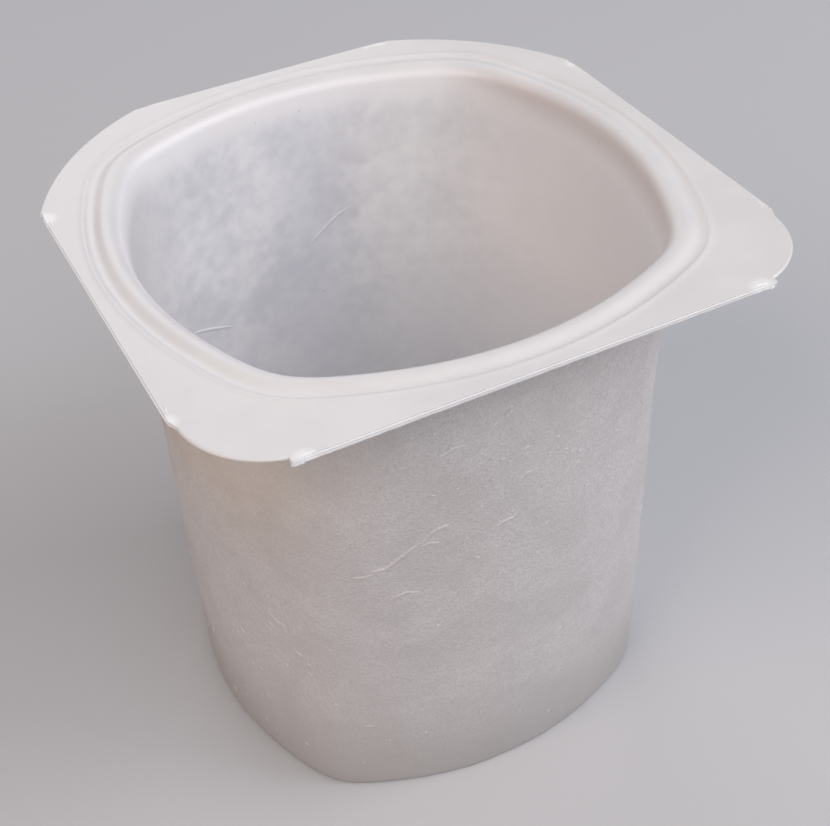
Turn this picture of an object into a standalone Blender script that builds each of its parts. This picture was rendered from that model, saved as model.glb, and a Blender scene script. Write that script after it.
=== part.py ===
"""A small empty yogurt pot: a thin moulded cup with a square flange round its mouth, and the paper
band that is glued round its wall.

The cup stands on its own ring-shaped foot. Its cross-section is a square with gently bowed sides and
soft corners, a little wider at the mouth than at the foot. The flange is snapped apart from the next
pots along four straight edges and punched round at its corners: two corners are small arcs and the
other two are wide ones, almost concentric with the mouth.

Metres, +Z up. The origin is on the cup's axis, at the level of the foot. The edge between the two
small corners faces -Y.
"""

from math import asin, atan2, cos, pi, radians, sin, sqrt

import bmesh
import bpy

# Driving dimensions of the cup
FLANGE_WIDTH = 0.063
FLANGE_LEVEL = 0.0613
FLANGE_THICKNESS = 0.00075
FLANGE_EDGE_THICKNESS = 0.0007
WALL_THICKNESS = 0.00045
FLOOR_THICKNESS = 0.0006

# Half widths of the wall's outer face, measured over the paper band
HALF_WIDTH_AT_MOUTH = 0.0264
HALF_WIDTH_AT_FOOT = 0.0257

# Form of the cross-section: the radius of a bowed side in half widths, and how crisp its corners are
SIDE_BOW = 1.48
CORNER_CRISPNESS = 40

# The paper band, and the clearance that keeps it apart from the cup
PAPER_THICKNESS = 0.0003
CLEARANCE = 0.0003
PAPER_BOTTOM = 0.0007
PAPER_TOP = 0.0580

# The corners of the flange: the radius of each arc, how far it reaches from the axis, how far a small
# arc stops short of the side edge's direction, and half the turn of a wide arc
SMALL_CORNER_RADIUS = 0.009
SMALL_CORNER_REACH = 0.04015
SMALL_CORNER_SHORTFALL = radians(5)
WIDE_CORNER_RADIUS = 0.030
WIDE_CORNER_REACH = 0.0355
WIDE_CORNER_HALF_TURN = radians(21)

# Where the straight edges of the flange end, measured from the middle of each edge
FRONT_EDGE_END = 0.0243
SIDE_EDGE_FRONT_END = 0.0216
SIDE_EDGE_BACK_END = 0.0146
BACK_EDGE_END = 0.0146

# The rolled rim inside the flange, and the level where the neck starts to flare out to it
GROOVE_HALF_WIDTH = 0.0292
GROOVE_DEPTH = 0.00018
GROOVE_OUTER_LIP = 0.0007
LIP_RISE = 0.00003
BEAD_RISE = 0.00015
BEAD_HALF_WIDTH = 0.0278
ROLL_RADIUS = 0.0016
NECK_BOTTOM = 0.0581

# The foot: a flat ring round a raised panel, and the rounded heels outside and inside
HEEL_RADIUS = 0.0006
FOOT_RING_WIDTH = 0.0024
PANEL_RISE = 0.0009
PANEL_SLOPE_WIDTH = 0.0009
INNER_HEEL_RADIUS = 0.0018

# How finely the round parts are divided
ARC_STEPS = 8
EDGE_STEPS = 8
ROLL_STEPS = 6
HEEL_STEPS = 3
WALL_STEPS = 4
SHARP_EDGE_ANGLE = radians(35)

# Colour (linear red, green and blue) and roughness of the two finishes
PLASTIC_COLOUR = (0.74, 0.73, 0.72)
PLASTIC_ROUGHNESS = 0.35
PAPER_COLOUR = (0.50, 0.46, 0.43)
PAPER_ROUGHNESS = 0.9


def remove_everything():
    for item in list(bpy.data.objects):
        bpy.data.objects.remove(item, do_unlink=True)


def side_reach(angle):
    """Distance from the axis to a bowed side of half width 1, at an angle from the side's middle."""
    setback = SIDE_BOW - 1.0
    return sqrt(SIDE_BOW ** 2 - (setback * sin(angle)) ** 2) - setback * cos(angle)


def section_reach(angle):
    """Distance from the axis to the bowed square of half width 1. Its corners are softened."""
    from_side = abs((angle + pi / 4) % (pi / 2) - pi / 4)
    near = side_reach(from_side)
    far = side_reach(pi / 2 - from_side)
    return (near ** -CORNER_CRISPNESS + far ** -CORNER_CRISPNESS) ** (-1.0 / CORNER_CRISPNESS)


def wall_half_width(z):
    """Half width over the paper at a height: the wall leans outwards evenly."""
    return HALF_WIDTH_AT_FOOT + (HALF_WIDTH_AT_MOUTH - HALF_WIDTH_AT_FOOT) * z / FLANGE_LEVEL


def ring(angles, half_width, z):
    """The bowed square at one height. It is an offset of the wall, so corners keep their form."""
    base = wall_half_width(z)
    offset = half_width - base
    points = []
    for angle in angles:
        reach = base * section_reach(angle) + offset
        points.append((reach * cos(angle), reach * sin(angle), z))
    return points


def arc(centre_x, centre_y, radius, start, end):
    """Points along an arc of the flange's outline, from one angle to another."""
    points = []
    for step in range(ARC_STEPS + 1):
        angle = start + (end - start) * step / ARC_STEPS
        points.append((centre_x + radius * cos(angle), centre_y + radius * sin(angle)))
    return points


def straight(start, end):
    """Points along a straight edge of the flange's outline, both ends included."""
    points = []
    for step in range(EDGE_STEPS + 1):
        share = step / EDGE_STEPS
        points.append((start[0] + (end[0] - start[0]) * share, start[1] + (end[1] - start[1]) * share))
    return points


def flange_outline():
    """The flange's outline, anticlockwise from the front end of its +X edge."""
    half = FLANGE_WIDTH / 2

    small = (SMALL_CORNER_REACH - SMALL_CORNER_RADIUS) * cos(pi / 4)
    small_end_on_front = -pi / 2 + asin((FRONT_EDGE_END - small) / SMALL_CORNER_RADIUS)
    wide = (WIDE_CORNER_REACH - WIDE_CORNER_RADIUS) * cos(pi / 4)

    right_half = straight((half, -SIDE_EDGE_FRONT_END), (half, SIDE_EDGE_BACK_END))
    wide_start = pi / 4 - WIDE_CORNER_HALF_TURN
    right_half += arc(wide, wide, WIDE_CORNER_RADIUS, wide_start, pi / 2 - wide_start)
    back_edge = straight((BACK_EDGE_END, half), (-BACK_EDGE_END, half))
    left_half = [(-x, y) for x, y in reversed(right_half)]
    front_edge = straight((-FRONT_EDGE_END, -half), (FRONT_EDGE_END, -half))
    right_corner = arc(small, -small, SMALL_CORNER_RADIUS, small_end_on_front, -SMALL_CORNER_SHORTFALL)
    left_corner = [(-x, y) for x, y in reversed(right_corner)]
    return right_half + back_edge + left_half + left_corner + front_edge + right_corner


def at_level(outline, z):
    return [(x, y, z) for x, y in outline]


def roll(half_width, crest, radius):
    """Half widths and heights down a quarter round, from its crest to the neck that it runs into."""
    points = []
    for step in range(ROLL_STEPS + 1):
        angle = pi / 2 * step / ROLL_STEPS
        points.append((half_width - radius * sin(angle), crest - radius * (1.0 - cos(angle))))
    return points


def heel(half_width, bottom, radius):
    """Half widths and heights up a rounded heel, from the floor's level to the wall."""
    points = []
    for step in range(HEEL_STEPS + 1):
        angle = pi / 2 * step / HEEL_STEPS
        points.append((half_width - radius * (1.0 - sin(angle)), bottom + radius * (1.0 - cos(angle))))
    return points


def cup_outside():
    """Half widths and heights of the cup's outside, from the raised panel to under the flange."""
    under_paper = PAPER_THICKNESS + CLEARANCE
    foot = wall_half_width(0.0) - under_paper
    ring_inner = foot - HEEL_RADIUS - FOOT_RING_WIDTH
    profile = [(ring_inner - PANEL_SLOPE_WIDTH, PANEL_RISE), (ring_inner, 0.0)]
    profile += heel(foot, 0.0, HEEL_RADIUS)

    for step in range(1, WALL_STEPS + 1):
        z = HEEL_RADIUS + (NECK_BOTTOM - HEEL_RADIUS) * step / WALL_STEPS
        profile.append((wall_half_width(z) - under_paper, z))

    underside = FLANGE_LEVEL - FLANGE_THICKNESS
    profile += reversed(roll(BEAD_HALF_WIDTH, underside, ROLL_RADIUS - WALL_THICKNESS))
    return profile


def cup_inside():
    """Half widths and heights of the cup's inside, from the groove in the flange to the floor."""
    wall_stack = PAPER_THICKNESS + CLEARANCE + WALL_THICKNESS
    profile = [
        (GROOVE_HALF_WIDTH + GROOVE_OUTER_LIP, FLANGE_LEVEL + LIP_RISE),
        (GROOVE_HALF_WIDTH, FLANGE_LEVEL - GROOVE_DEPTH),
        ((GROOVE_HALF_WIDTH + BEAD_HALF_WIDTH) / 2, FLANGE_LEVEL + BEAD_RISE / 2),
    ]
    profile += roll(BEAD_HALF_WIDTH, FLANGE_LEVEL + BEAD_RISE, ROLL_RADIUS)

    floor_level = PANEL_RISE + FLOOR_THICKNESS
    heel_top = floor_level + INNER_HEEL_RADIUS
    for step in range(WALL_STEPS):
        z = NECK_BOTTOM + (heel_top - NECK_BOTTOM) * step / WALL_STEPS
        profile.append((wall_half_width(z) - wall_stack, z))
    profile += reversed(heel(wall_half_width(heel_top) - wall_stack, floor_level, INNER_HEEL_RADIUS))
    return profile


def add_material(thing, name, colour, roughness):
    material = bpy.data.materials.new(name)
    material.use_nodes = True
    shader = material.node_tree.nodes["Principled BSDF"]
    shader.inputs["Base Color"].default_value = (*colour, 1.0)
    shader.inputs["Roughness"].default_value = roughness
    shader.inputs["Metallic"].default_value = 0.0
    thing.data.materials.append(material)


def edge_loop(body, points):
    """A closed loop of edges through the points."""
    corners = [body.verts.new(point) for point in points]
    return [body.edges.new((corner, corners[index - 1])) for index, corner in enumerate(corners)]


def bridged_solid(name, rings, closed_loop):
    """One closed body through rings of equal length. Its ends are filled, or joined to each other."""
    mesh = bpy.data.meshes.new(name)
    body = bmesh.new()
    loops = [edge_loop(body, points) for points in rings]
    for lower, upper in zip(loops, loops[1:]):
        bmesh.ops.bridge_loops(body, edges=lower + upper)
    if closed_loop:
        bmesh.ops.bridge_loops(body, edges=loops[-1] + loops[0])
    else:
        bmesh.ops.holes_fill(body, edges=loops[0])
        bmesh.ops.holes_fill(body, edges=loops[-1])
    bmesh.ops.recalc_face_normals(body, faces=body.faces)
    bmesh.ops.triangulate(body, faces=body.faces)
    print(name, "holds", round(body.calc_volume() * 1e6, 3), "ml of material")
    body.to_mesh(mesh)
    body.free()
    mesh.shade_smooth()
    mesh.set_sharp_from_angle(angle=SHARP_EDGE_ANGLE)
    thing = bpy.data.objects.new(name, mesh)
    bpy.context.scene.collection.objects.link(thing)
    return thing


def make_cup(outline, angles):
    """The moulded cup: up its outside, round the edge of the flange, and down its inside."""
    rings = [ring(angles, half_width, z) for half_width, z in cup_outside()]
    rings.append(at_level(outline, FLANGE_LEVEL - FLANGE_EDGE_THICKNESS))
    rings.append(at_level(outline, FLANGE_LEVEL))
    rings += [ring(angles, half_width, z) for half_width, z in cup_inside()]
    cup = bridged_solid("pot", rings, closed_loop=False)
    add_material(cup, "moulded_polystyrene", PLASTIC_COLOUR, PLASTIC_ROUGHNESS)
    return cup


def make_paper_band(angles):
    """The paper glued round the wall: its outer face going up, then its inner face going down."""
    levels = [PAPER_BOTTOM + (PAPER_TOP - PAPER_BOTTOM) * step / WALL_STEPS for step in range(WALL_STEPS + 1)]
    outer = [ring(angles, wall_half_width(z), z) for z in levels]
    inner = [ring(angles, wall_half_width(z) - PAPER_THICKNESS, z) for z in reversed(levels)]
    band = bridged_solid("paper_band", outer + inner, closed_loop=True)
    add_material(band, "torn_label_paper", PAPER_COLOUR, PAPER_ROUGHNESS)
    return band


remove_everything()
flange_points = flange_outline()
point_angles = [atan2(y, x) for x, y in flange_points]
make_cup(flange_points, point_angles)
make_paper_band(point_angles)
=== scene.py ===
# %% [markdown]
# A small yogurt pot, emptied, with the printed face of its paper band torn off.
# The solids of the pot come in as a fixed frame. They give the true size and place of everything,
# so each piece below is fitted to them and never the other way round.

# %% Load the frame and note its size
from math import atan2, copysign, cos, degrees, pi, radians, sin, tan
from random import Random

import bmesh
import bpy
from mathutils import Matrix, Vector


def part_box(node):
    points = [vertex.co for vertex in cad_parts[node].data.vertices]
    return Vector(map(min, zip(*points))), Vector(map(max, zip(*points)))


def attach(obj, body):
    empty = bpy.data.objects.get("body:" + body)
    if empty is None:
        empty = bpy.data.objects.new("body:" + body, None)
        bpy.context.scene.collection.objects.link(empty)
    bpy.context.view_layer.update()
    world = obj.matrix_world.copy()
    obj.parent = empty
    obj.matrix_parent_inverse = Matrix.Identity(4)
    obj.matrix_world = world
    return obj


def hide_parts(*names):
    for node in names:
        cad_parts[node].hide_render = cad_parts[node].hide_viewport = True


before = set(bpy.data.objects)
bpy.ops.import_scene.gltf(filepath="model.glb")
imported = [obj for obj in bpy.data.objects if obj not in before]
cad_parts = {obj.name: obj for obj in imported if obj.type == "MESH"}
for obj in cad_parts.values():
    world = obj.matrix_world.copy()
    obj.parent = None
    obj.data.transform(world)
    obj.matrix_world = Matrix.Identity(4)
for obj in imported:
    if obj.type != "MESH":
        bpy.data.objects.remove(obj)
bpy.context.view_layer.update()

cup_low, cup_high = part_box("pot")
MM = 0.001
print("cup", [round(v / MM, 2) for v in cup_high - cup_low], "mm")

# %% [markdown]
# The camera stands in front of the pot, a hand's length away, and looks down into it. It could be
# aimed by eye, but the four edges of the square flange fix its place, so that is given in
# millimetres, with a compass angle, a height angle and a slight tilt round the line of sight. The
# lens is rather long.

# %% Camera
PICTURE_WIDTH, PICTURE_HEIGHT = 830, 826
FOCAL_PIXELS = 1445.0
CAMERA_AZIMUTH = radians(-25.527)
CAMERA_ELEVATION = radians(40.441)
CAMERA_ROLL = radians(-3.143)
CAMERA_PLACE = Vector((-52.363, -113.541, 139.212)) * MM

camera_data = bpy.data.cameras.new("camera")
camera_data.sensor_width = 36.0
camera_data.lens = camera_data.sensor_width * FOCAL_PIXELS / max(PICTURE_WIDTH, PICTURE_HEIGHT)
camera_data.clip_start = 0.005
camera = bpy.data.objects.new("camera", camera_data)
bpy.context.scene.collection.objects.link(camera)
bpy.context.scene.camera = camera

away = Vector((
    sin(CAMERA_AZIMUTH) * cos(CAMERA_ELEVATION),
    -cos(CAMERA_AZIMUTH) * cos(CAMERA_ELEVATION),
    sin(CAMERA_ELEVATION),
))
level_right = (-away).cross(Vector((0, 0, 1))).normalized()
level_up = level_right.cross(-away)
right = level_right * cos(CAMERA_ROLL) + level_up * sin(CAMERA_ROLL)
up = level_up * cos(CAMERA_ROLL) - level_right * sin(CAMERA_ROLL)
facing = Matrix((right, up, away)).transposed().to_4x4()
camera.matrix_world = Matrix.Translation(CAMERA_PLACE) @ facing
print("lens", round(camera_data.lens, 1), "mm")

# %% [markdown]
# Small helpers for working as by hand: make one piece active with nothing else selected, and
# select points by where they are.

# %% Helpers for selecting
def make_active(piece):
    if bpy.context.object and bpy.context.object.mode != "OBJECT":
        bpy.ops.object.mode_set(mode="OBJECT")
    bpy.ops.object.select_all(action="DESELECT")
    piece.select_set(True)
    bpy.context.view_layer.objects.active = piece


def start_piece(name):
    """Names the primitive that was just added and goes into edit mode on it."""
    piece = bpy.context.object
    piece.name = name
    piece.data.name = name
    bpy.ops.object.mode_set(mode="EDIT")
    return piece


def select_points(piece, wanted):
    """In edit mode, selects just the points that pass the test."""
    mesh = bmesh.from_edit_mesh(piece.data)
    bpy.ops.mesh.select_mode(type="VERT")
    bpy.ops.mesh.select_all(action="DESELECT")
    for point in mesh.verts:
        point.select = wanted(point)
    mesh.select_flush(True)
    bmesh.update_edit_mesh(piece.data)


def apply_modifier(piece, kind, **settings):
    make_active(piece)
    modifier = piece.modifiers.new(kind.lower(), kind)
    for key, value in settings.items():
        setattr(modifier, key, value)
    bpy.ops.object.modifier_apply(modifier=modifier.name)


def join_to(piece, *others):
    """Joins other pieces to this one, so that they are one mesh."""
    make_active(piece)
    for other in others:
        other.select_set(True)
    bpy.ops.object.join()


# %% [markdown]
# Cup and paper share one cross-section: a square with bowed sides and soft corners. A circle cast a
# quarter of the way to a square gives bowed sides that meet in a corner, and the subdivision that
# follows rounds the corner off. Every height of the wall is that loop again, pulled up and scaled.

# %% The cross-section and how a wall is pulled up from it
LOOP_POINTS = 32
CAST_SHARE = 0.25
CAST_CIRCLE = 1.009
CAST_SQUARE = 0.973
SMOOTHING_LOSS = 0.11 * MM

WALL_FOOT = 25.7 * MM
WALL_MOUTH = 26.4 * MM
FLANGE_TOP = 61.3 * MM


def wall_over_paper(level):
    """Half width of the body, measured over its paper, at a height."""
    return WALL_FOOT + (WALL_MOUTH - WALL_FOOT) * level / FLANGE_TOP


def first_loop(name, half_width, level):
    """A loop with the pot's cross-section, in edit mode and selected."""
    radius = half_width + SMOOTHING_LOSS
    bpy.ops.object.select_all(action="DESELECT")
    bpy.ops.mesh.primitive_circle_add(
        vertices=LOOP_POINTS, radius=radius * CAST_CIRCLE, fill_type="NOTHING", location=(0, 0, 0)
    )
    piece = bpy.context.object
    apply_modifier(
        piece, "CAST", cast_type="CUBOID", factor=CAST_SHARE, size=radius * CAST_SQUARE,
        use_z=False, use_radius_as_size=False,
    )
    start_piece(name)
    bpy.ops.mesh.select_all(action="SELECT")
    bpy.ops.transform.translate(value=(0, 0, level))
    return piece


def pull_loop(half_width, level, last_half_width, last_level):
    """Extrudes the selected loop to a new height and scales it to a new half width."""
    bpy.ops.mesh.extrude_region_move(TRANSFORM_OT_translate={"value": (0, 0, level - last_level)})
    factor = (half_width + SMOOTHING_LOSS) / (last_half_width + SMOOTHING_LOSS)
    bpy.ops.transform.resize(value=(factor, factor, 1), center_override=(0, 0, level))


def pull_profile(name, profile):
    """A piece whose loops follow a profile of half widths and heights. It is left in edit mode."""
    piece = first_loop(name, *profile[0])
    for last, new in zip(profile, profile[1:]):
        pull_loop(*new, *last)
    return piece


print("over the paper:", 2 * WALL_FOOT / MM, "mm at the foot,", 2 * WALL_MOUTH / MM, "mm at the mouth")

# %% [markdown]
# The cup is one sheet of polystyrene, about half a millimetre thick, sucked into a mould. Its
# profile goes up the outside, out under the flange, round its edge, back over the rolled rim, and
# down the inside. It is pulled up loop by loop, so the rim's roll stays one smooth surface, and the
# flange starts as a wide sheet that is punched out afterwards, as the real one is.

# %% The cup's profile
PAPER_THICKNESS = 0.2 * MM
PLASTIC_THICKNESS = 0.5 * MM
FLANGE_THICKNESS = 0.42 * MM
FLOOR_LEVEL = 1.5 * MM
PANEL_LEVEL = 0.9 * MM
BLANK_HALF_WIDTH = 46 * MM

ROLL_CREST = 61.45 * MM
ROLL_CENTRE = 27.8 * MM
ROLL_RADIUS = 1.6 * MM
ROLL_STEPS = (0, 18, 36, 54, 72, 90)


def outside_of_cup(level):
    return (wall_over_paper(level) - PAPER_THICKNESS, level)


def inside_of_cup(level):
    return (wall_over_paper(level) - PAPER_THICKNESS - PLASTIC_THICKNESS, level)


def on_roll(turn):
    """A place on the rolled rim, from its crest (0 degrees) down to the wall (90 degrees)."""
    return (
        ROLL_CENTRE - ROLL_RADIUS * sin(radians(turn)),
        ROLL_CREST - ROLL_RADIUS * (1 - cos(radians(turn))),
    )


under_flange = FLANGE_TOP - FLANGE_THICKNESS
foot_profile = [(r * MM, z * MM) for r, z in (
    (10.0, 0.9), (18.6, 0.9), (19.8, 0.85), (20.8, 0.3), (21.5, 0.0), (22.7, 0.0),
    (24.2, 0.0), (24.9, 0.02), (25.3, 0.2), (25.48, 0.6), (25.5, 1.2),
)]
outside_profile = [outside_of_cup(z * MM) for z in (2.5, 8, 20, 32, 44, 54, 57.9)]
under_rim_profile = [(r * MM, z * MM) for r, z in (
    (26.45, 58.9), (26.68, 59.5), (26.95, 60.1), (27.35, 60.5), (27.9, 60.74), (28.6, 60.85),
)]
under_rim_profile += [(r * MM, under_flange) for r in (29.5, 32.5, 42.0)]
blank_edge = [(BLANK_HALF_WIDTH, under_flange), (BLANK_HALF_WIDTH, FLANGE_TOP)]
top_profile = [(r * MM, z * MM) for r, z in (
    (42.0, 61.3), (32.5, 61.3), (31.1, 61.3), (30.6, 61.28), (30.3, 61.3), (30.05, 61.37),
    (29.85, 61.36), (29.65, 61.2), (29.4, 61.1), (29.1, 61.07), (28.75, 61.15), (28.2, 61.4),
)]
roll_profile = [on_roll(turn) for turn in ROLL_STEPS]
roll_profile += [(r * MM, z * MM) for r, z in ((26.05, 59.0), (25.85, 58.1))]
inside_profile = [inside_of_cup(z * MM) for z in (56.5, 54, 44, 32, 20, 9, 4.4)]
floor_profile = [(r * MM, z * MM) for r, z in (
    (24.7, 2.6), (24.0, 1.8), (22.8, 1.5), (21.0, 1.5), (10.0, 1.5),
)]
cup_profile = foot_profile + outside_profile + under_rim_profile + blank_edge + top_profile
cup_profile += roll_profile + inside_profile + floor_profile
print("the cup's profile has", len(cup_profile), "loops")

# %% Pull up the cup, close its two ends and smooth it
END_REACH = 12 * MM
LEVEL_SLACK = 0.02 * MM


def is_end_at(level):
    """A test for the points of the profile's open end at a height."""
    return lambda point: abs(point.co.z - level) < LEVEL_SLACK and point.co.xy.length < END_REACH


cup = pull_profile("cup", cup_profile)
for level in (PANEL_LEVEL, FLOOR_LEVEL):
    select_points(cup, is_end_at(level))
    bpy.ops.mesh.edge_face_add()
    bpy.ops.mesh.poke()
bpy.ops.mesh.select_all(action="SELECT")
bpy.ops.mesh.normals_make_consistent(inside=False)
apply_modifier(cup, "SUBSURF", levels=2, render_levels=2)
print("the cup has", len(cup.data.polygons), "faces")

# %% [markdown]
# Pots are moulded side by side in one sheet. A punch takes out the corners between them, and the
# straight edges are scored, so a shop or a child snaps them apart. That leaves arcs at the corners,
# straight edges between them, and a small step where a torn edge runs into a punched one. An arc
# is a circle with the part outside two angles deleted, and it comes first.

# %% Measures of the punch, and how an arc is added
LIP_WIDTH = 0.19 * MM
EDGE = cup_high.x - LIP_WIDTH
SMALL_ARC = {"centre": 22.03 * MM, "radius": 9.0 * MM}
WIDE_ARC = {"centre": 3.89 * MM, "radius": 30.0 * MM}
ARC_POINTS = 120
ANGLE_SLACK = 0.01


def add_arc(piece, centre, radius, low, high):
    """Adds a circle in edit mode and deletes all of it outside two angles. Returns the arc's ends."""
    bpy.ops.mesh.primitive_circle_add(
        vertices=ARC_POINTS, radius=radius, fill_type="NOTHING", location=(*centre, 0)
    )
    mesh = bmesh.from_edit_mesh(piece.data)
    kept = []
    for point in mesh.verts:
        if point.select:
            angle = degrees(atan2(point.co.y - centre[1], point.co.x - centre[0])) % 360
            inside = low - ANGLE_SLACK <= angle <= high + ANGLE_SLACK
            point.select = not inside
            if inside:
                kept.append((angle, point.co.xy.copy()))
    mesh.select_flush(False)
    bmesh.update_edit_mesh(piece.data)
    bpy.ops.mesh.delete(type="VERT")
    kept.sort(key=lambda item: item[0])
    return kept[0][1], kept[-1][1]


small, small_radius = SMALL_ARC["centre"], SMALL_ARC["radius"] - LIP_WIDTH
wide, wide_radius = WIDE_ARC["centre"], WIDE_ARC["radius"] - LIP_WIDTH
arc_shapes = [
    ((wide, wide), wide_radius, 24, 66),
    ((-wide, wide), wide_radius, 114, 156),
    ((-small, -small), small_radius, 186, 255),
    ((small, -small), small_radius, 285, 354),
]
print("half the flange's width without its lips:", round(EDGE / MM, 2), "mm")

# %% [markdown]
# The outline goes round through the four arcs. From the end of each arc a short step and then a
# straight edge are extruded, and the edge's end is joined to the next arc. The closed outline is
# raised to a block that is taller than the pot.

# %% Draw the punched outline and raise it
FRONT_EDGE_END = 24.3 * MM
SIDE_EDGE_FRONT_END = 21.6 * MM
SIDE_EDGE_BACK_END = 14.6 * MM
BACK_EDGE_END = 14.6 * MM
PUNCH_FOOT = -1 * MM
PUNCH_HEIGHT = 70 * MM
SNAP = 0.001 * MM


def is_at(*places):
    """A test for the points at these places."""
    return lambda point: any((point.co.xy - place).length < SNAP for place in places)


def draw_on(step):
    """Extrudes the selected point by a step on the level."""
    bpy.ops.mesh.extrude_region_move(TRANSFORM_OT_translate={"value": (*step, 0)})


bpy.ops.object.select_all(action="DESELECT")
bpy.ops.mesh.primitive_circle_add(vertices=ARC_POINTS, radius=1 * MM, location=(0, 0, 0))
punch = start_piece("punch")
bpy.ops.mesh.delete(type="VERT")
arcs = [add_arc(punch, *shape) for shape in arc_shapes]
edge_ends = [
    [Vector((EDGE, -SIDE_EDGE_FRONT_END)), Vector((EDGE, SIDE_EDGE_BACK_END))],
    [Vector((BACK_EDGE_END, EDGE)), Vector((-BACK_EDGE_END, EDGE))],
    [Vector((-EDGE, SIDE_EDGE_BACK_END)), Vector((-EDGE, -SIDE_EDGE_FRONT_END))],
    [Vector((-FRONT_EDGE_END, -EDGE)), Vector((FRONT_EDGE_END, -EDGE))],
]
for number, (start, end) in enumerate(edge_ends):
    arc_before, arc_after = arcs[number - 1][1], arcs[number][0]
    select_points(punch, is_at(arc_before))
    draw_on(start - arc_before)
    draw_on(end - start)
    select_points(punch, is_at(end, arc_after))
    bpy.ops.mesh.edge_face_add()
bpy.ops.mesh.select_all(action="SELECT")
bpy.ops.mesh.edge_face_add()
bpy.ops.transform.translate(value=(0, 0, PUNCH_FOOT))
bpy.ops.mesh.extrude_region_move(TRANSFORM_OT_translate={"value": (0, 0, PUNCH_HEIGHT)})
bpy.ops.mesh.select_all(action="SELECT")
bpy.ops.mesh.normals_make_consistent(inside=False)
bpy.ops.object.mode_set(mode="OBJECT")
print("the punch has", len(punch.data.vertices), "points")

# %% [markdown]
# The punching is a Boolean that keeps only what lies inside the block, so the outer part of the
# sheet falls away, and the block is deleted after it. Faces that meet at less than 30 degrees are
# shaded as one smooth surface, while the edge of the flange stays crisp.

# %% Punch the flange out of the sheet
apply_modifier(cup, "BOOLEAN", operation="INTERSECT", solver="EXACT", object=punch)
bpy.data.objects.remove(punch, do_unlink=True)
make_active(cup)
bpy.ops.object.shade_smooth_by_angle(angle=radians(30))
print("punched:", len(cup.data.polygons), "faces")

# %% [markdown]
# Strands are used for everything that is thin, long and tapered: the burr that a snap leaves on the
# plastic, and the crease and fibres of the torn paper. Each is one line of a curve with its own
# radius at every point. The curve gets a round bevel and is then turned into a mesh. All its points
# carry a mark, "lifted", that says how much paler the finish makes a torn or stressed place.

# %% Strands
def draw_strands(name, strands, resolution, lifted):
    """Turns lists of places and radii into one mesh of tapered round strands with one mark."""
    bpy.ops.object.select_all(action="DESELECT")
    bpy.ops.curve.primitive_bezier_curve_add(location=(0, 0, 0))
    drawing = bpy.context.object
    drawing.name = name
    curve = drawing.data
    curve.splines.clear()
    for places, radii in strands:
        line = curve.splines.new("POLY")
        line.points.add(len(places) - 1)
        for point, place, radius in zip(line.points, places, radii):
            point.co = (*place, 1.0)
            point.radius = radius / MM
    curve.bevel_depth = 1 * MM
    curve.bevel_resolution = resolution
    curve.use_fill_caps = True
    bpy.ops.object.convert(target="MESH")
    strands_piece = bpy.context.object
    strands_piece.data.name = name
    mark = strands_piece.data.attributes.new("lifted", "FLOAT", "POINT")
    mark.data.foreach_set("value", [lifted] * len(strands_piece.data.vertices))
    bpy.ops.object.shade_smooth()
    return strands_piece


def place_on(piece, angle, level, lift):
    """A place on the first face that a level ray from the axis meets, moved outwards by lift."""
    outwards = Vector((cos(radians(angle)), sin(radians(angle)), 0))
    place = piece.ray_cast(Vector((0, 0, level)), outwards)[1]
    return place + outwards * lift


def along(stops, share):
    """The value at a share of the way through evenly spaced stops, each a tuple."""
    reach = share * (len(stops) - 1)
    index = min(int(reach), len(stops) - 2)
    part = reach - index
    return tuple(a + (b - a) * part for a, b in zip(stops[index], stops[index + 1]))


inner_face = place_on(cup, 0, 30 * MM, 0)
print("30 mm up, a level ray meets the cup's inner face at", round(inner_face.x / MM, 2), "mm")

# %% [markdown]
# The punch leaves the arcs with a rounded rim. Snapping draws the plastic out into a thin lip
# along each straight edge instead, with a thicker torn burr below it. Lips and rims stand at the
# very edge, so the flange was cut a lip's width short of its full size above.

# %% How the rims, lips and burrs run
RIM_RADIUS = 0.205 * MM
RIM_STEPS = 60
RIM_OVERRUN = 0.4 * MM
LIP_RADIUS = 0.085 * MM
LIP_STEPS = 90
BURR_RADIUS = 0.24 * MM
BURR_DROP = 0.42 * MM
TAPER_STEPS = 3
ragged = Random(21)


def rim_along(centre, radius, low, high):
    """An even round rim that ends a punched arc. It runs on a little past the arc as a small horn."""
    reach = radius + LIP_WIDTH - RIM_RADIUS
    overrun = RIM_OVERRUN / radius
    first, last = radians(low) - overrun, radians(high) + overrun
    places = []
    for step in range(RIM_STEPS + 1):
        angle = first + (last - first) * step / RIM_STEPS
        x, y = centre[0] + reach * cos(angle), centre[1] + reach * sin(angle)
        places.append((x, y, FLANGE_TOP - RIM_RADIUS))
    return places, [RIM_RADIUS] * len(places)


def strand_along(start, end, radius, drop):
    """A thin uneven strand from one end of a straight edge to the other."""
    places, radii = [], []
    for step in range(LIP_STEPS + 1):
        place = start.lerp(end, step / LIP_STEPS)
        places.append((place.x, place.y, FLANGE_TOP - drop - radius * ragged.uniform(0, 0.12)))
        taper = min(1.0, 0.4 + 0.6 * min(step, LIP_STEPS - step) / TAPER_STEPS)
        radii.append(radius * taper * ragged.uniform(0.86, 1.0))
    return places, radii


rims = [rim_along(*shape) for shape in arc_shapes]
print(len(rims), "rims, each", round(2 * RIM_RADIUS / MM, 2), "mm thick")

# %% [markdown]
# Where a snap ran into a punched corner, the plastic tore to a ragged lump, with a wavy crest on
# top of it. Both lie along the edge's last millimetres and sway a little towards its inner side,
# as drawn by a seeded random number, so each of the eight ends is different.

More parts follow.
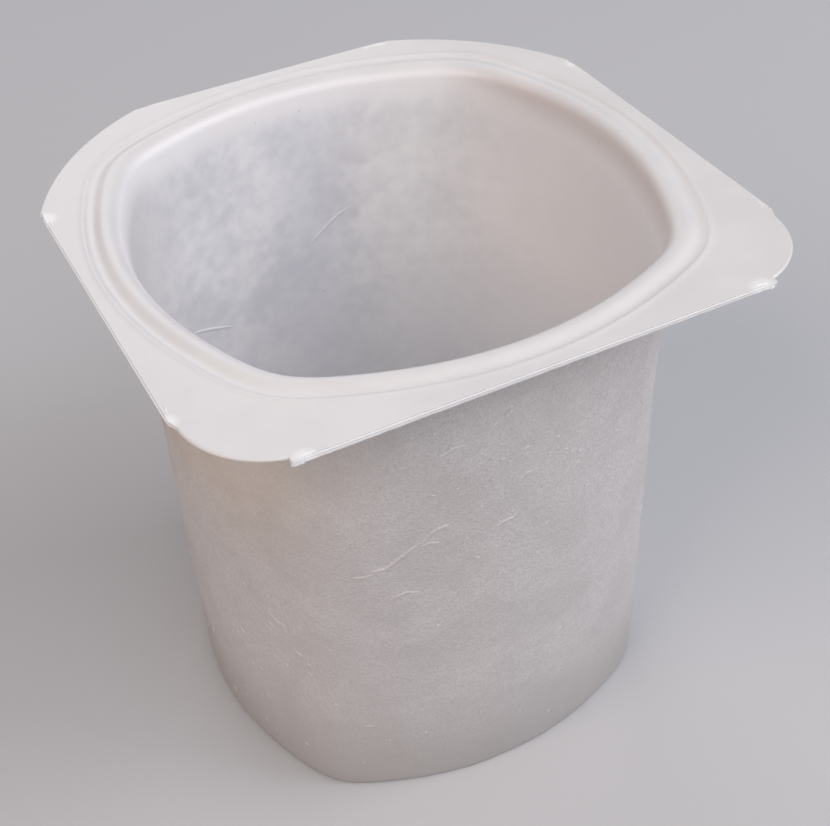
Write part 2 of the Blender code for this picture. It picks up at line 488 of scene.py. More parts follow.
# %% How the lumps and crests run
LUMP_RADIUS = 0.36 * MM
LUMP_STEPS = 14
LUMP_LENGTH = 3.2 * MM
LUMP_DROOP = 0.66 * MM
LUMP_RISE = 0.34 * MM
CREST_RADIUS = 0.18 * MM
CREST_SHARE = 0.85
CREST_DIP = 0.45 * MM
CREST_SINK = 0.03 * MM
CREST_WAVE = 0.05 * MM
SWAY = 0.09 * MM


def away_from_edge(end, inwards):
    """The direction from an edge's end to the flange's inner side, at right angles to the edge."""
    return Vector((-abs(inwards.y) * copysign(1, end.x), -abs(inwards.x) * copysign(1, end.y)))


def lump_at(end, inwards):
    """A ragged swelling under the last millimetres of a lip. It droops towards the corner."""
    sideways = away_from_edge(end, inwards)
    places, radii = [], []
    for step in range(LUMP_STEPS + 1):
        share = step / LUMP_STEPS
        place = end + inwards * LUMP_LENGTH * share + sideways * ragged.uniform(0, SWAY)
        places.append((place.x, place.y, FLANGE_TOP - LUMP_DROOP + LUMP_RISE * share))
        swell = min(1.0, 0.35 + 5 * share) * cos(pi / 2 * share)
        radii.append(max(0.05, swell) * LUMP_RADIUS * ragged.uniform(0.75, 1.0))
    return places, radii


def crest_at(end, inwards):
    """A low wavy crest on top of the lump, where the plastic was pulled up before it tore."""
    sideways = away_from_edge(end, inwards)
    length = LUMP_LENGTH * CREST_SHARE
    places, radii = [], []
    for step in range(LUMP_STEPS + 1):
        share = step / LUMP_STEPS
        place = end + inwards * length * share + sideways * ragged.uniform(0, 2 * SWAY)
        sink = CREST_DIP * (1 - share) ** 4 + CREST_SINK + CREST_WAVE * sin(9 * share) ** 2
        places.append((place.x, place.y, FLANGE_TOP - sink))
        swell = max(0.1, sin(pi * (0.15 + 0.85 * share)))
        radii.append(swell * CREST_RADIUS * ragged.uniform(0.75, 1.0))
    return places, radii


print("each lump is", round(LUMP_LENGTH / MM, 1), "mm long")

# %% [markdown]
# Every straight edge gets a lip, a burr below it, and a lump and a crest at both ends. Each is set
# back from the flange's outer edge by its own radius or more, so nothing stands out past it.

# %% Draw the rims, burrs and lips
LIP_DROP = 1.05 * LIP_RADIUS
BURR_SET_BACK = 1.2 * BURR_RADIUS
CREST_SET_BACK = 2.4 * CREST_RADIUS

lips = []
for start, end in edge_ends:
    direction = (end - start).normalized()
    outwards = Vector((direction.y, -direction.x))
    shift = outwards * (LIP_WIDTH - LIP_RADIUS)
    lips.append(strand_along(start + shift, end + shift, LIP_RADIUS, LIP_DROP))
    shift = outwards * (LIP_WIDTH - BURR_SET_BACK)
    rims.append(strand_along(start + shift, end + shift, BURR_RADIUS, BURR_DROP))
    shift = outwards * (LIP_WIDTH - LUMP_RADIUS)
    lips.append(lump_at(start + shift, direction))
    lips.append(lump_at(end + shift, -direction))
    shift = outwards * (LIP_WIDTH - CREST_SET_BACK)
    lips.append(crest_at(start + shift, direction))
    lips.append(crest_at(end + shift, -direction))
punched_rims = draw_strands("rims_and_burrs", rims, resolution=3, lifted=0.0)
snapped_lips = draw_strands("snapped_lips", lips, resolution=2, lifted=0.8)
print("the snapped lips have", len(snapped_lips.data.polygons), "faces")

# %% [markdown]
# The inside has two raised lines, where the sheet rucked as it was formed: a fine one low on the far
# left and a soft bow across the far wall. Each is a strand through stops of angle and height, with
# a radius and a depth that sinks it in the wall almost to its surface, all but the angles in mm.

# %% The raised lines inside
RUCKS = [
    ([(128.0, 36.4), (124.5, 35.9), (119.8, 35.0), (112.1, 33.4)], 0.24, 0.10),
    ([(93.0, 38.0), (86.0, 41.4), (78.5, 44.0), (69.6, 45.7)], 0.36, 0.26),
]
RUCK_STEPS = 24


def wall_strand(piece, stops, steps, radius, lift):
    """A strand through stops of angle and level on a piece, thickest at its middle."""
    places, radii = [], []
    for step in range(steps + 1):
        share = step / steps
        angle, level = along(stops, share)
        places.append(place_on(piece, angle, level * MM, lift))
        radii.append(radius * max(0.08, sin(pi * share) ** 0.5))
    return places, radii


ruck_strands = []
for stops, radius, depth in RUCKS:
    ruck_strands.append(wall_strand(cup, stops, RUCK_STEPS, radius * MM, depth * MM))
rucks = draw_strands("rucks", ruck_strands, resolution=4, lifted=0.0)
join_to(cup, punched_rims, snapped_lips, rucks)
print("the cup has", len(cup.data.polygons), "faces with its lips")

# %% [markdown]
# The paper band was glued round the wall. Its printed face was pulled off, so what stays is the
# torn inside of the paper: soft, matt, and covered with fibres. It is pulled up on the cup's own
# section, divided finely, and made uneven with two cloud textures: the slow waves of damp paper, and
# the small hollows where the pull took more or less of it.

# %% The paper's outer face
HEEL_HEIGHT = 0.9 * MM
skin_levels = [0.25, 0.75, 7, 14, 21, 28, 35, 42, 49, 57.2, 57.9]


def over_heel(level):
    """Half width over the paper, drawn in where the heel rounds off under it."""
    short = max(0.0, HEEL_HEIGHT - level)
    return wall_over_paper(level) - 0.5 * short * short / HEEL_HEIGHT


def roughen(piece, name, size, depth, detail):
    """Moves the faces in and out by a cloud texture with features of one size."""
    texture = bpy.data.textures.new(name, "CLOUDS")
    texture.noise_scale = size
    texture.noise_depth = detail
    apply_modifier(
        piece, "DISPLACE", texture=texture, texture_coords="LOCAL", strength=depth, mid_level=0.5,
    )


paper = pull_profile("paper", [(over_heel(z * MM), z * MM) for z in skin_levels])
bpy.ops.mesh.select_all(action="SELECT")
bpy.ops.mesh.normals_make_consistent(inside=False)
apply_modifier(paper, "SUBSURF", levels=4, render_levels=4)
roughen(paper, "damp_waves", size=9 * MM, depth=0.22 * MM, detail=1)
roughen(paper, "torn_hollows", size=1.6 * MM, depth=0.07 * MM, detail=3)
print("the paper's outer face has", len(paper.data.polygons), "faces")

# %% [markdown]
# The sheet creased before it was torn, so a soft fold crosses the front, with short branches and
# fainter folds round it. Each is a list of stops, an angle round the axis and a height, and a strand
# along them. The strand's line is sunk by two thirds of its radius, so only a low soft back shows.

# %% Creases
CREASES = [
    ([
        (-125.5, 35.9), (-122.8, 35.6), (-120.0, 35.8), (-116.5, 37.2), (-112.5, 38.7), (-110.0, 39.6),
    ], 0.38),
    ([(-112.5, 38.9), (-108.5, 40.2), (-104.5, 40.6)], 0.34),
    ([(-113.5, 38.1), (-110.5, 38.5), (-107.0, 38.2)], 0.26),
    ([(-128.0, 34.9), (-124.5, 34.9), (-121.5, 35.3)], 0.26),
    ([(-109.5, 49.0), (-105.0, 50.2), (-100.0, 50.6)], 0.28),
    ([(-98.0, 37.6), (-94.0, 38.6), (-91.0, 38.8), (-87.5, 40.3)], 0.30),
    ([(-91.5, 42.8), (-88.0, 44.2), (-86.0, 43.9)], 0.28),
    ([(-99.5, 44.2), (-97.0, 45.4), (-95.5, 47.0)], 0.26),
    ([(-121.0, 31.0), (-116.0, 32.0), (-111.0, 31.6)], 0.24),
    ([(-150.5, 26.5), (-146.0, 25.1), (-141.5, 25.3)], 0.26),
]
CREASE_STEPS = 60
CREASE_SUNK_SHARE = 0.66

folds = []
for stops, radius in CREASES:
    lift = -CREASE_SUNK_SHARE * radius * MM
    folds.append(wall_strand(paper, stops, CREASE_STEPS, radius * MM, lift))
creases = draw_strands("creases", folds, resolution=3, lifted=0.22)
print("creases:", len(creases.data.polygons), "faces")

# %% [markdown]
# Small flakes and fibres were lifted by the pull, most of them high on the right and low on the
# left. They lie roughly the way it was pulled, upwards on both sides of the near corner. The flakes
# that the eye picks out are placed one by one, by angle, height, slope and length. The fine fibres
# are scattered in fields, each with a count, a stretch of angles and a stretch of heights.

# %% Where the flakes and fibres lie
FLAKE_RADIUS = 0.21 * MM
FLAKE_LIFT = -0.5
THICK_FLAKES = [
    (-172.5, 25.5, 66, 0.9), (-160.5, 18.6, -50, 1.3), (-148.4, 24.0, -42, 1.6), (-141.0, 21.7, -12, 1.7),
    (-145.3, 18.4, -10, 1.0), (-138.5, 20.6, -30, 0.8), (-148.0, 26.4, -20, 0.7), (-173.5, 20.0, 70, 0.9),
    (-82.5, 35.9, 35, 1.0), (-93.2, 38.7, 10, 0.9), (-91.3, 39.7, 30, 0.8), (-95.2, 35.6, 10, 1.0),
    (-92.2, 35.2, 40, 0.7), (-84.5, 32.1, 60, 0.7), (-99.7, 34.8, 5, 0.9), (-45.9, 24.9, 80, 0.5),
    (-95.6, 51.8, 25, 1.2), (-92.0, 53.2, 30, 0.9), (-86.5, 50.4, 45, 0.8), (-80.0, 47.0, 35, 0.9),
    (-88.0, 47.5, 30, 1.2), (-76.0, 44.0, 40, 1.1), (-89.1, 25.0, 50, 0.5), (-88.6, 7.4, 30, 0.6),
    (-113.5, 8.8, 20, 0.6), (-109.4, 26.3, 30, 0.6), (-104.0, 45.0, 20, 0.7), (-99.0, 47.5, 30, 0.8),
]
FIBRE_FIELDS = [
    (150, (-180, 180), (2.5, 55.5)), (110, (-112, -60), (36, 56)), (24, (-168, -132), (12, 30)),
]
print(len(THICK_FLAKES), "flakes and", sum(field[0] for field in FIBRE_FIELDS), "fine fibres")

# %% Draw the flakes and fibres
FIBRE_STEPS = 5
FIBRE_BEND = 25
FIBRE_SCATTER = 25
FIBRE_RADII = (0.035, 0.085)
FIBRE_LENGTHS = (0.3, 1.1)
FIBRE_LIFT = 0.3
PULL_CENTRE = -128.0
PULL_SLOPE = 33
PULL_CORNER = 14
MEAN_RADIUS = 28.0
DEGREES_A_MM = 360 / (2 * pi * MEAN_RADIUS)
fibres = Random(5)


def pull_slope(angle):
    """How steeply the fibres lie at an angle round the wall, in degrees."""
    from_centre = (angle - PULL_CENTRE + 180) % 360 - 180
    return PULL_SLOPE * max(-1.0, min(1.0, from_centre / PULL_CORNER))


def fibre(angle, level, slope, length, radius, lift):
    """A short bent fibre that lies on the paper."""
    bend = fibres.uniform(-FIBRE_BEND, FIBRE_BEND)
    places, radii = [], []
    for step in range(FIBRE_STEPS + 1):
        share = step / FIBRE_STEPS - 0.5
        here = radians(slope + bend * share)
        turned = angle + length * share * cos(here) * DEGREES_A_MM
        risen = (level + length * share * sin(here)) * MM
        places.append(place_on(paper, turned, risen, radius * lift))
        radii.append(radius * max(0.15, cos(pi * share * 0.95)))
    return places, radii


strands = []
for angle, level, slope, length in THICK_FLAKES:
    strands.append(fibre(angle, level, slope, length, FLAKE_RADIUS, FLAKE_LIFT))
for count, angles, levels in FIBRE_FIELDS:
    for _ in range(count):
        angle = fibres.uniform(*angles)
        slope = pull_slope(angle) + fibres.gauss(0, FIBRE_SCATTER)
        radius = fibres.uniform(*FIBRE_RADII) * MM
        length = fibres.uniform(*FIBRE_LENGTHS)
        strands.append(fibre(angle, fibres.uniform(*levels), slope, length, radius, FIBRE_LIFT))
torn_fibres = draw_strands("torn_fibres", strands, resolution=0, lifted=0.65)
print("fibres:", len(torn_fibres.data.polygons), "faces")

# %% [markdown]
# The band is closed on its hidden side. The rims of its outer face are drawn inwards by the paper's
# thickness, and a plain inner face is bridged between them.

# %% Close the band behind its outer face
def on_open_rim(low, high):
    """A test for the points of the open rims between two heights."""
    return lambda point: point.is_boundary and low < point.co.z < high


MIDDLE = 30 * MM
INWARDS = 1 - PAPER_THICKNESS / WALL_FOOT
make_active(paper)
bpy.ops.object.mode_set(mode="EDIT")
for low, high in ((0, MIDDLE), (MIDDLE, 2 * MIDDLE)):
    select_points(paper, on_open_rim(low, high))
    bpy.ops.mesh.extrude_region_move(TRANSFORM_OT_translate={"value": (0, 0, 0)})
    bpy.ops.transform.resize(value=(INWARDS, INWARDS, 1), center_override=(0, 0, 0))
select_points(paper, on_open_rim(0, 2 * MIDDLE))
bpy.ops.mesh.bridge_edge_loops()
bpy.ops.mesh.select_all(action="SELECT")
bpy.ops.mesh.normals_make_consistent(inside=False)
make_active(paper)
bpy.ops.object.shade_smooth_by_angle(angle=radians(50))
join_to(paper, creases, torn_fibres)
print("the paper has", len(paper.data.polygons), "faces")

# %% [markdown]
# Colours are written as on a screen, and one function turns them into the linear values that the
# shaders work with. Another adds a node and fills its inputs with values, colours or links. Every
# pattern gets its scale from a size in real millimetres.

# %% Colour and node helpers
def linear(hex_colour):
    """sRGB hex to linear red, green, blue and alpha."""
    channels = [int(hex_colour[i:i + 2], 16) / 255 for i in (1, 3, 5)]
    return [c / 12.92 if c <= 0.04045 else ((c + 0.055) / 1.055) ** 2.4 for c in channels] + [1.0]


def add_node(tree, kind, inputs, **settings):
    """Adds a node. Each input takes a number, a hex colour or another node's output."""
    node = tree.nodes.new(kind)
    for key, value in settings.items():
        setattr(node, key, value)
    for key, value in inputs.items():
        if isinstance(value, bpy.types.NodeSocket):
            tree.links.new(value, node.inputs[key])
        else:
            node.inputs[key].default_value = linear(value) if isinstance(value, str) else value
    return node


def clouds(tree, place, size, detail):
    """Noise from 0 to 1 with features of one size."""
    settings = {"Vector": place, "Scale": 1 / size, "Detail": detail}
    return add_node(tree, "ShaderNodeTexNoise", settings).outputs["Fac"]


def between(tree, value, start, end, low=0.0, high=1.0):
    """A soft step from low to high while the value goes from start to end."""
    inputs = {"Value": value, "From Min": start, "From Max": end, "To Min": low, "To Max": high}
    node = add_node(tree, "ShaderNodeMapRange", inputs, interpolation_type="SMOOTHSTEP")
    return node.outputs["Result"]


def combine(tree, operation, first, second):
    """Two numbers put together by a sum, a product or another operation."""
    return add_node(tree, "ShaderNodeMath", {0: first, 1: second}, operation=operation).outputs["Value"]


def blend(tree, share, first, second):
    """The second colour laid over the first by a share."""
    inputs = {0: share, 6: first, 7: second}
    return add_node(tree, "ShaderNodeMix", inputs, data_type="RGBA").outputs[2]


def new_material(name, roughness, ior):
    """A material with its node tree and shader. The uniform values sit on the shader."""
    material = bpy.data.materials.new(name)
    material.use_nodes = True
    shader = material.node_tree.nodes["Principled BSDF"]
    shader.inputs["Roughness"].default_value = roughness
    shader.inputs["IOR"].default_value = ior
    return material, material.node_tree, shader


print("the grey #808080 is", round(linear("#808080")[0], 3), "in linear light")

# %% [markdown]
# The cup is off-white polystyrene: a sheet that was heated and sucked into a mould. Down the inside, the
# glue and paper behind the thin wall show through as soft clouds. A pale band runs down the far wall, and a
# bluish band of painted cool light runs down its middle, each given by its middle, its reach in mm and its
# colour. The right side has painted warm light, even and warmer, and the floor has the same warmer tone.
# The upper left has painted shade and is greyer, and lower down the wall is lighter. All of it is noise and
# soft steps on the pot's own coordinates, so it stays with the pot.

# %% The wall as seen from inside
CLOUD_SIZE = 8.0 * MM
SMALL_CLOUD_SIZE = 1.7 * MM
LARGE_CLOUD_SHARE, SMALL_CLOUD_SHARE = 0.58, 0.42
# The first band is painted cool light, bluish, down the middle of the far wall. The second is a pale band.
BANDS = [(1.5, 8.0, "#dbdee7"), (13.0, 7.0, "#f8faf8")]
BAND_SHARE = 0.45


def inner_wall_tone_with_painted_light(tree, parts, mottle, left_side):
    """Clouds where the glued paper shows through the wall, a pale band, painted cool light in the middle of
    the far wall, painted warm light on the right, a warmer floor, painted shade on the upper left, and a
    lighter tone lower down.
    """
    across, level = parts["X"], parts["Z"]
    tone = blend(tree, between(tree, mottle, 0.32, 0.68), "#dedee3", "#f6f6f7")
    far_wall = between(tree, parts["Y"], 8 * MM, 18 * MM)
    for middle, reach, colour in BANDS:
        offset = combine(tree, "ABSOLUTE", combine(tree, "SUBTRACT", across, middle * MM), 0.0)
        band = between(tree, offset, reach * MM, 0.0, 0.0, BAND_SHARE)
        tone = blend(tree, combine(tree, "MULTIPLY", far_wall, band), tone, colour)
    # Painted warm light on the right of the inside, even and warmer. The cup's floor gets the same warmer
    # tone.
    painted_warm_light_right = between(tree, across, 12 * MM, 25 * MM, 0.0, 0.9)
    warm_right_and_floor = combine(tree, "MAXIMUM", painted_warm_light_right, between(tree, level, 6 * MM, 2.5 * MM))
    tone = blend(tree, warm_right_and_floor, tone, "#eeebea")
    # Painted shade on the upper left of the inside, which makes it greyer.
    painted_shade_upper_left = combine(tree, "MULTIPLY", left_side, between(tree, level, 25 * MM, 48 * MM, 0.3, 0.8))
    tone = blend(tree, painted_shade_upper_left, tone, "#d3d0d1")
    return blend(tree, between(tree, level, 42 * MM, 22 * MM, 0.0, 0.6), tone, "#f7f7f9")


print(len(BANDS), "bands down the far wall, clouds of", CLOUD_SIZE / MM, "and", SMALL_CLOUD_SIZE / MM, "mm")

# %% [markdown]
# The rim's slope looks whiter on the left and at the back, and duller and warmer on the right. Some
# of that may be the sheet, which is drawn thinner in places, and some is light that the softboxes
# don't give, so it is laid in as tone. The snapped edges have turned white where the plastic was
# stressed: that is the mark that the lips carry, and a soft white patch at each torn corner, given
# by its place and its reach in mm.

# %% The slope of the rim and the whitened edges
SLOPE_SHARE = 0.85
WHITENED_PLACES = [
    ((-23.2, -31.4, 61.2), 1.4), ((22.7, -31.4, 61.2), 1.8), ((-31.3, 14.4, 61.2), 1.7),
    ((-31.3, -21.6, 61.2), 1.2), ((14.6, 31.3, 61.2), 1.2), ((31.3, 14.6, 61.2), 1.2),
]


def distance_to(tree, place, centre):
    """How far the shaded point lies from a place given in millimetres."""
    inputs = {0: place, 1: [c * MM for c in centre]}
    return add_node(tree, "ShaderNodeVectorMath", inputs, operation="DISTANCE").outputs["Value"]


def lifted_mark(tree):
    """The mark that the strands carry."""
    return add_node(tree, "ShaderNodeAttribute", {}, attribute_name="lifted").outputs["Fac"]


def with_slope(tree, parts, tone, over_glue, left_side):
    """The tone with the rim's slope made whiter or duller by side."""
    slope = between(tree, parts["Z"], 61.2 * MM, 60.4 * MM, 0.0, SLOPE_SHARE)
    slope = combine(tree, "MULTIPLY", slope, over_glue)
    pale_side = combine(tree, "MAXIMUM", left_side, between(tree, parts["Y"], 10 * MM, 22 * MM))
    dull_side = between(tree, parts["X"], 17 * MM, 25 * MM)
    tone = blend(tree, combine(tree, "MULTIPLY", slope, pale_side), tone, "#fbf9fa")
    return blend(tree, combine(tree, "MULTIPLY", slope, dull_side), tone, "#d8cecb")


def with_whitened_edges(tree, place, tone, over_glue):
    """The tone with the stressed plastic turned white."""
    whitened = combine(tree, "MULTIPLY", lifted_mark(tree), over_glue)
    for centre, reach in WHITENED_PLACES:
        distance = distance_to(tree, place, centre)
        patch = between(tree, distance, reach * MM, 0.3 * reach * MM)
        whitened = combine(tree, "MAXIMUM", whitened, patch)
    return blend(tree, whitened, tone, "#fafafa")


print(len(WHITENED_PLACES), "whitened corners")

# %% [markdown]
# A few dark specks of dirt lie on the plastic: small dots in the cells of a Voronoi pattern, in less
# than half of the cells. The flange also has a few hairline scratches, all the same way: noise that
# is stretched along one direction, of which only the very highest parts show.

# %% Specks and scratches
SPECK_SPACING = 4.2 * MM
SPECK_RADIUS = 0.12 * MM
SPECK_SHARE = 0.45
SPECK_DARKNESS = 0.55
SCRATCH_WIDTH = 0.14 * MM
SCRATCH_LENGTH = 2.0 * MM
SCRATCH_TURN = radians(24)
SCRATCH_DARKNESS = 0.3


def with_specks(tree, place, tone):
    """The tone with specks of dirt on it."""
    specks = add_node(tree, "ShaderNodeTexVoronoi", {"Vector": place, "Scale": 1 / SPECK_SPACING})
    near_speck = between(tree, specks.outputs["Distance"], 1.4 * SPECK_RADIUS / SPECK_SPACING, 0.0)
    chosen = combine(tree, "LESS_THAN", specks.outputs["Color"], SPECK_SHARE)
    dirt = combine(tree, "MULTIPLY", combine(tree, "MULTIPLY", near_speck, chosen), SPECK_DARKNESS)
    return blend(tree, dirt, tone, "#77726f")


def flange_scratches(tree, place, level):
    """A share from 0 to 1 that is 1 in a scratch on the flange."""
    inputs = {
        "Vector": place, "Rotation": (0, 0, SCRATCH_TURN),
        "Scale": (1 / SCRATCH_LENGTH, 1 / SCRATCH_WIDTH, 1 / SCRATCH_LENGTH),
    }
    turned = add_node(tree, "ShaderNodeMapping", inputs).outputs["Vector"]
    streaks = between(tree, clouds(tree, turned, 1.0, 0.0), 0.84, 0.9)
    on_flange = between(tree, level, 61.0 * MM, 61.25 * MM)
    return combine(tree, "MULTIPLY", streaks, on_flange)


print("specks about", SPECK_SPACING / MM, "mm apart, scratches about", SCRATCH_LENGTH / MM, "mm long")

# %% [markdown]
# Put together, the plastic has a satin skin: a roughness that wavers a little, so that the rim and
# the lips catch a soft, uneven highlight, and a bump so low that only grazing light shows it.

# %% Vacuum-formed polystyrene
GLUE_TOP, RIM_FOOT = 57 * MM, 60.5 * MM
LEFT_START, LEFT_END = -12 * MM, -24 * MM
WAVE_HEIGHT = 0.3 * MM
SATIN = 0.4


def vacuum_formed_polystyrene():
    material, tree, shader = new_material("vacuum_formed_polystyrene", roughness=SATIN, ior=1.59)
    place = add_node(tree, "ShaderNodeTexCoord", {}).outputs["Object"]
    parts = add_node(tree, "ShaderNodeSeparateXYZ", {"Vector": place}).outputs
    large = clouds(tree, place, CLOUD_SIZE, 4.0)
    small = clouds(tree, place, SMALL_CLOUD_SIZE, 3.0)
    mottle = combine(
        tree, "ADD", combine(tree, "MULTIPLY", large, LARGE_CLOUD_SHARE),
        combine(tree, "MULTIPLY", small, SMALL_CLOUD_SHARE),
    )
    left_side = between(tree, parts["X"], LEFT_START, LEFT_END)
    over_glue = between(tree, parts["Z"], GLUE_TOP, RIM_FOOT)
    scratches = flange_scratches(tree, place, parts["Z"])

    top_tone = blend(tree, between(tree, large, 0.3, 0.7), "#e6e4e4", "#ebe9e8")
    tone = blend(tree, over_glue, inner_wall_tone_with_painted_light(tree, parts, mottle, left_side), top_tone)
    tone = with_slope(tree, parts, tone, over_glue, left_side)
    tone = with_whitened_edges(tree, place, tone, over_glue)
    tone = with_specks(tree, place, tone)
    scratch_shade = combine(tree, "MULTIPLY", scratches, SCRATCH_DARKNESS)
    tone = blend(tree, scratch_shade, tone, "#c4c0c1")
    tree.links.new(tone, shader.inputs["Base Color"])

    height = combine(tree, "SUBTRACT", mottle, combine(tree, "MULTIPLY", scratches, 0.1))
    inputs = {"Height": height, "Strength": 0.3, "Distance": WAVE_HEIGHT}
    waves = add_node(tree, "ShaderNodeBump", inputs)
    tree.links.new(waves.outputs["Normal"], shader.inputs["Normal"])
    skin = between(tree, large, 0.3, 0.7, SATIN - 0.04, SATIN + 0.06)
    tree.links.new(skin, shader.inputs["Roughness"])
    return material


polystyrene = vacuum_formed_polystyrene()
print("the polystyrene has", len(polystyrene.node_tree.nodes), "nodes")

# %% [markdown]
# The paper is the torn inside of a pulp label, and most of it is a fine even pulp. Over that lie
# faint short streaks that rise away from the near corner on both sides, as the pull went: noise that
# is wound round the pot's axis, once each way, and drawn out along the winding.

# %% The relief of torn pulp
GRAIN_SIZE = 1.0 * MM
FIBRE_SIZE = 0.3 * MM
PULP_SIZE = 0.27 * MM
PULP_SHARE, GRAIN_SHARE, FIBRE_SHARE = 0.66, 0.18, 0.16
GRAIN_PITCH = radians(30)
GRAIN_STRETCH = 0.8
GRAIN_TURN = 1 / (26.5 * MM * tan(GRAIN_PITCH))
NEAR_CORNER = (0.82, -0.57, 0.0)
CORNER_BLEND = 4 * MM


def wound(tree, place, level, turn):
    """Coordinates wound round the axis, so that noise on them makes slanted streaks."""
    angle = combine(tree, "MULTIPLY", level, turn)
    inputs = {"Vector": place, "Angle": angle}
    turned = add_node(tree, "ShaderNodeVectorRotate", inputs, rotation_type="Z_AXIS").outputs["Vector"]
    inputs = {"Vector": turned, "Scale": (1, 1, GRAIN_STRETCH)}
    return add_node(tree, "ShaderNodeMapping", inputs).outputs["Vector"]


def slanted_grain(tree, place, level, size, detail):
    """Streaks of one size that rise away from the near corner on both sides of it."""
    inputs = {0: place, 1: NEAR_CORNER}
    across = add_node(tree, "ShaderNodeVectorMath", inputs, operation="DOT_PRODUCT").outputs["Value"]
    right_side = between(tree, across, -CORNER_BLEND, CORNER_BLEND)
    rising = clouds(tree, wound(tree, place, level, -GRAIN_TURN), size, detail)
    falling = clouds(tree, wound(tree, place, level, GRAIN_TURN), size, detail)
    return add_node(tree, "ShaderNodeMix", {0: right_side, 2: falling, 3: rising}).outputs[0]


def torn_relief(tree, place, level):
    """Heights from 0 to 1: even pulp with two sizes of streaks over it."""
    grain = slanted_grain(tree, place, level, GRAIN_SIZE, 2.0)
    fibre_grain = slanted_grain(tree, place, level, FIBRE_SIZE, 1.0)
    relief = combine(tree, "MULTIPLY", clouds(tree, place, PULP_SIZE, 3.0), PULP_SHARE)
    relief = combine(tree, "ADD", relief, combine(tree, "MULTIPLY", grain, GRAIN_SHARE))
    return combine(tree, "ADD", relief, combine(tree, "MULTIPLY", fibre_grain, FIBRE_SHARE))


print("the grain turns", round(degrees(GRAIN_TURN * MM), 2), "degrees round the axis for each mm of height")

# %% [markdown]
# The paper is dull, pale grey and without any gloss. Lifted fibres are paler, because loose fibre scatters
# more light. It is browner high on the left, and greyer towards the foot: painted shade, which makes up for
# the light that a pale floor throws on it. The relief shades it in a fine soft grain, weaker low down.

# %% Torn label paper
BLOTCH_SIZE = 7.0 * MM
WARM_PATCH_CENTRE = (-28, -8, 56)
WARM_PATCH_START, WARM_PATCH_END = 28 * MM, 6 * MM
PAINTED_FOOT_SHADE_REACH = 17 * MM
LIFTED_SHARE = 0.75
PULP_RELIEF = 0.18 * MM


def torn_label_paper():
    material, tree, shader = new_material("torn_label_paper", roughness=0.95, ior=1.45)
    shader.inputs["Specular IOR Level"].default_value = 0.25
    place = add_node(tree, "ShaderNodeTexCoord", {}).outputs["Object"]
    level = add_node(tree, "ShaderNodeSeparateXYZ", {"Vector": place}).outputs["Z"]
    relief = torn_relief(tree, place, level)
    blotches = clouds(tree, place, BLOTCH_SIZE, 3.0)

    tone = blend(tree, between(tree, relief, 0.35, 0.65), "#c8c3c2", "#d6d2d1")
    # A browner patch high on the left of the paper.
    warm_patch_reach = between(tree, distance_to(tree, place, WARM_PATCH_CENTRE), WARM_PATCH_START, WARM_PATCH_END)
    warm_patch = combine(tree, "MULTIPLY", warm_patch_reach, between(tree, blotches, 0.25, 0.6, 0.4, 0.7))
    tone = blend(tree, warm_patch, tone, "#d9c8b7")
    tone = blend(tree, between(tree, blotches, 0.4, 0.65, 0.0, 0.3), tone, "#bdb8b7")
    # Painted shade, greyer towards the foot, which makes up for the light from the pale floor.
    tone = blend(tree, between(tree, level, PAINTED_FOOT_SHADE_REACH, 0.0, 0.0, 0.8), tone, "#b3afad")
    fluff = combine(tree, "MULTIPLY", lifted_mark(tree), LIFTED_SHARE)
    tone = blend(tree, fluff, tone, "#efedec")
    tree.links.new(tone, shader.inputs["Base Color"])

    roughed = between(tree, level, 4 * MM, 40 * MM, 0.3, 0.75)
    inputs = {"Height": relief, "Strength": roughed, "Distance": PULP_RELIEF}
    bump = add_node(tree, "ShaderNodeBump", inputs)
    tree.links.new(bump.outputs["Normal"], shader.inputs["Normal"])
    return material


label_paper = torn_label_paper()
print("the paper's material has", len(label_paper.node_tree.nodes), "nodes")

# %% [markdown]
# Each finished piece goes on the imported body that it belongs to, takes the place of its solid, and gets
# its material.

# %% Give the pieces their materials and put them on the frame
for piece, node, slot, material in (
    (cup, "pot", "cup_plastic", polystyrene),
    (paper, "paper_band", "band_paper", label_paper),
):
    piece.data.materials.clear()
    piece.data.materials.append(material)
    make_active(piece)
    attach(piece, "root")
    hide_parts(node)
    print(piece.name, "is made of", material.name)

# %% [markdown]
# A pale, plain floor, as in a small studio. It is matt, so that it throws soft light on the foot
# without a reflection of the pot.

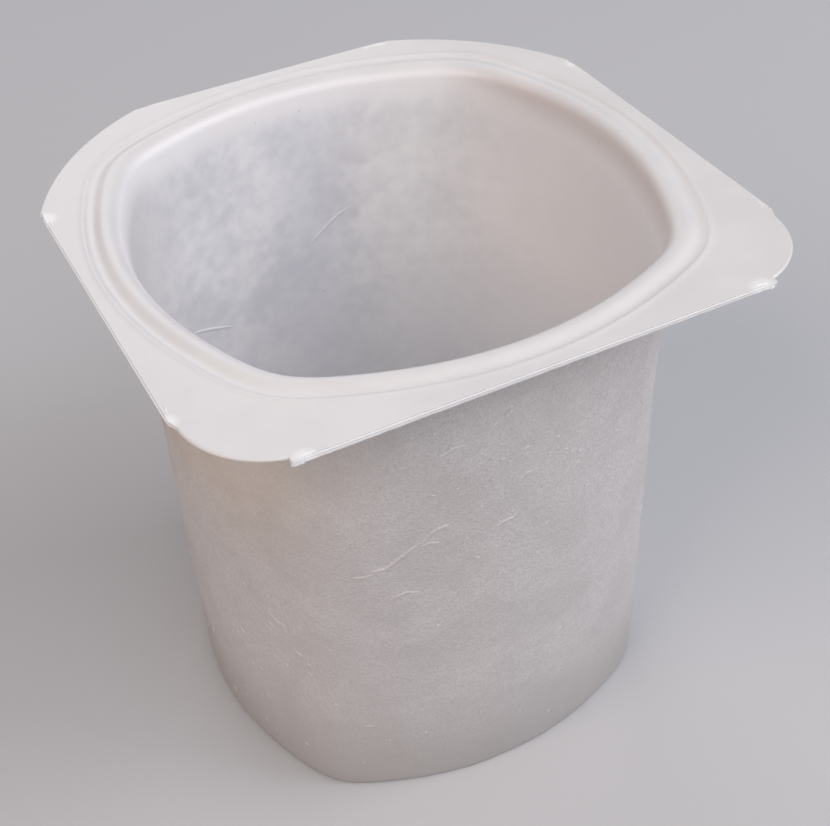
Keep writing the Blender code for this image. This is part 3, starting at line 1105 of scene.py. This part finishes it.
# %% Floor
FLOOR_SIZE = 3.0

bpy.ops.object.select_all(action="DESELECT")
bpy.ops.mesh.primitive_plane_add(size=FLOOR_SIZE, location=(0, 0, 0))
floor = bpy.context.object
floor.name = "floor"
floor_material, _, floor_shader = new_material("floor_paint", roughness=0.9, ior=1.45)
floor_shader.inputs["Base Color"].default_value = linear("#c9c9cb")
floor.data.materials.append(floor_material)
print("the floor is", FLOOR_SIZE, "m wide")

# %% [markdown]
# The lights are large and soft. The main softbox stands in front and another on the right. A warmer
# one on the left lights that side of the paper, and a weak one behind keeps the far slope of the
# rim bright. A little light from all round fills the shadows.

# %% Light
LIGHT_DISTANCE = 0.8
POT_MIDDLE = Vector((0, 0, 0.03))


def add_softbox(name, azimuth, elevation, size, power, colour):
    """A square soft light at an azimuth and height angle that faces the pot's middle."""
    data = bpy.data.lights.new(name, "AREA")
    data.size = size
    data.energy = power
    data.color = linear(colour)[:3]
    light = bpy.data.objects.new(name, data)
    bpy.context.scene.collection.objects.link(light)
    towards = Vector((
        cos(radians(azimuth)) * cos(radians(elevation)),
        sin(radians(azimuth)) * cos(radians(elevation)),
        sin(radians(elevation)),
    ))
    light.location = POT_MIDDLE + towards * LIGHT_DISTANCE
    light.rotation_mode = "QUATERNION"
    light.rotation_quaternion = towards.to_track_quat("Z", "Y")
    print(name, "gives", power, "W")


add_softbox("main_softbox", azimuth=281, elevation=46, size=0.6, power=2.15, colour="#f2f3f9")
add_softbox("right_softbox", azimuth=333, elevation=36, size=0.5, power=2.8, colour="#f8f8fd")
add_softbox("warm_softbox", azimuth=198, elevation=40, size=0.5, power=2.3, colour="#ffe9d8")
add_softbox("back_softbox", azimuth=80, elevation=25, size=0.4, power=0.95, colour="#f6f7ff")
world = bpy.data.worlds.new("studio")
bpy.context.scene.world = world
world.use_nodes = True
background = world.node_tree.nodes["Background"]
background.inputs["Color"].default_value = linear("#eef2fa")
background.inputs["Strength"].default_value = 0.26
bpy.context.scene.view_settings.view_transform = "Standard"
